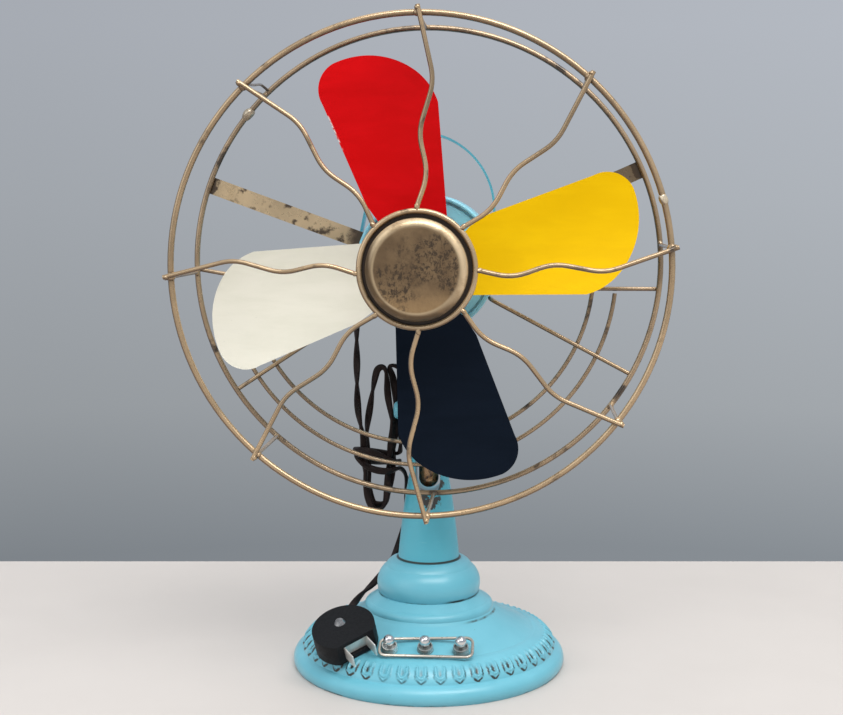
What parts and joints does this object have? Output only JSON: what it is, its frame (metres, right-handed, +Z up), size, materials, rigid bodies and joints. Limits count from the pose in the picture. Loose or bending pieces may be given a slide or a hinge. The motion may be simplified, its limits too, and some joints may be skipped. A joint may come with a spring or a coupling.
{
  "type": "table fan",
  "caption": "Table fan in antique style with a wire guard, paddle blades, a tilting head on a fork post, ball buttons and a folded cord.",
  "frame": {"origin": "on the table, in the middle of the foot", "axes": "+Z up, the fan faces -Y, +X to the right of someone who faces it"},
  "size_m": [0.2547, 0.1673, 0.3523],
  "materials": {
    "turquoise_paint": "satin",
    "antique_gold": "satin",
    "aged_brass": "worn",
    "bearing_brass": "satin",
    "steel": "satin",
    "core_steel": "matte",
    "winding": "satin",
    "chrome": "polished",
    "dark_cups": "satin",
    "switch_plastic": "matte",
    "black_plastic": "matte",
    "black_rubber": "matte",
    "cord_cover": "matte",
    "red_paint": "gloss",
    "yellow_paint": "gloss",
    "navy_paint": "gloss",
    "white_paint": "gloss"
  },
  "bodies": {
    "stand": {"foot": "turquoise_paint", "base_plate": "steel", "bulb": "turquoise_paint", "post": "turquoise_paint", "tie_rod": "steel", "base_washer": "steel", "base_nut": "steel", "tilt_nut": "aged_brass", "switch_cups": "dark_cups", "switch_frame": "antique_gold", "switch_block": "switch_plastic", "switch_cover": "switch_plastic", "cord_hank": "cord_cover", "cord_wrap": "cord_cover", "cord_lower": "cord_cover", "plug_body": "black_plastic", "plug_prongs": "chrome", "plug_rivet": "chrome"},
    "head": {"stem": "aged_brass", "friction_washers": "bearing_brass", "housing_front": "turquoise_paint", "housing_rear": "turquoise_paint", "stem_set_screw": "steel", "housing_screws": "steel", "bushes": "bearing_brass", "stator_core": "core_steel", "field_coils": "winding", "carry_handle": "turquoise_paint", "handle_screws": "steel", "front_ring": "antique_gold", "spokes": "antique_gold", "guard_ties": "antique_gold", "rear_ring": "antique_gold", "hub_ring": "antique_gold", "badge_cap": "antique_gold", "straps": "antique_gold", "strap_screws": "steel", "struts": "antique_gold", "inner_arc": "antique_gold", "outer_arc": "antique_gold", "cord_grommet": "black_rubber", "cord_upper": "cord_cover"},
    "rotor": {"shaft": "steel", "shaft_collars": "steel", "armature": "core_steel", "rotor_hub": "steel", "blade_red": "red_paint", "blade_yellow": "yellow_paint", "blade_navy": "navy_paint", "blade_white": "white_paint", "blade_rivets": "steel", "hub_nut": "steel"},
    "tilt_screw": {"tilt_bolt": "steel", "tilt_knob": "turquoise_paint"},
    "button_left": {"button_ball_left": "chrome", "button_plunger_left": "steel"},
    "button_middle": {"button_ball_middle": "chrome", "button_plunger_middle": "steel"},
    "button_right": {"button_ball_right": "chrome", "button_plunger_right": "steel"}
  },
  "joints": [
    {"name": "head_tilt", "type": "hinge", "parent": "stand", "child": "head", "pos_m": [0, 0, 0.1427], "axis": [1, 0, 0], "range_deg": [-25, 10]},
    {"name": "rotor_spin", "type": "hinge", "parent": "head", "child": "rotor", "pos_m": [0, 0, 0.2247], "axis": [0, -1, 0], "continuous": true},
    {"name": "tilt_screw_turn", "type": "hinge", "parent": "stand", "child": "tilt_screw", "pos_m": [0, 0, 0.1427], "axis": [1, 0, 0], "range_deg": [-180, 0]},
    {"name": "button_press_left", "type": "slide", "parent": "stand", "child": "button_left", "axis": [0, 0.4462, -0.8949], "range_m": [0, 0.002], "stiffness_N_per_m": 300, "springref_m": -0.001},
    {"name": "button_press_middle", "type": "slide", "parent": "stand", "child": "button_middle", "axis": [0, 0.4462, -0.8949], "range_m": [0, 0.002], "stiffness_N_per_m": 300, "springref_m": -0.001},
    {"name": "button_press_right", "type": "slide", "parent": "stand", "child": "button_right", "axis": [0, 0.4462, -0.8949], "range_m": [0, 0.002], "stiffness_N_per_m": 300, "springref_m": -0.001}
  ]
}
